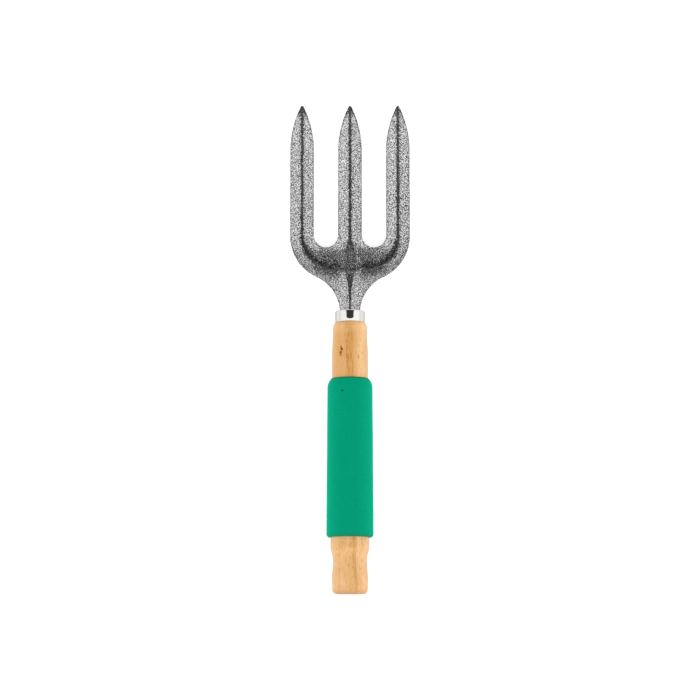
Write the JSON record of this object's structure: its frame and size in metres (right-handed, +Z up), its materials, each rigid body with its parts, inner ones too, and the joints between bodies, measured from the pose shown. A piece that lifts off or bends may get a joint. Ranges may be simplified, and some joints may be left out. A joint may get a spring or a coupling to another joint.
{
  "type": "garden hand fork",
  "caption": "Hand fork with a pressed steel head of three grooved tines, chromed ferrule, turned wooden handle and green foam grip sleeve.",
  "frame": {"origin": "on the surface that the fork rests on, under the middle of its overall length and width", "axes": "+Y along the handle's axis from the butt towards the tines, +Z up out of the hollow front of the head, +X to the right"},
  "size_m": [0.0784, 0.32, 0.0301],
  "materials": {
    "head_paint": "silver vein powder coat, fine dark and light speckle, satin gloss",
    "ferrule_chrome": "polished chrome plate",
    "handle_wood": "clear lacquer over light straight-grained hardwood",
    "grip_foam": "matt closed-cell foam rubber"
  },
  "bodies": {
    "root": {"fork_head": "head_paint", "ferrule": "ferrule_chrome", "handle": "handle_wood", "foam_grip": "grip_foam"}
  },
  "joints": []
}
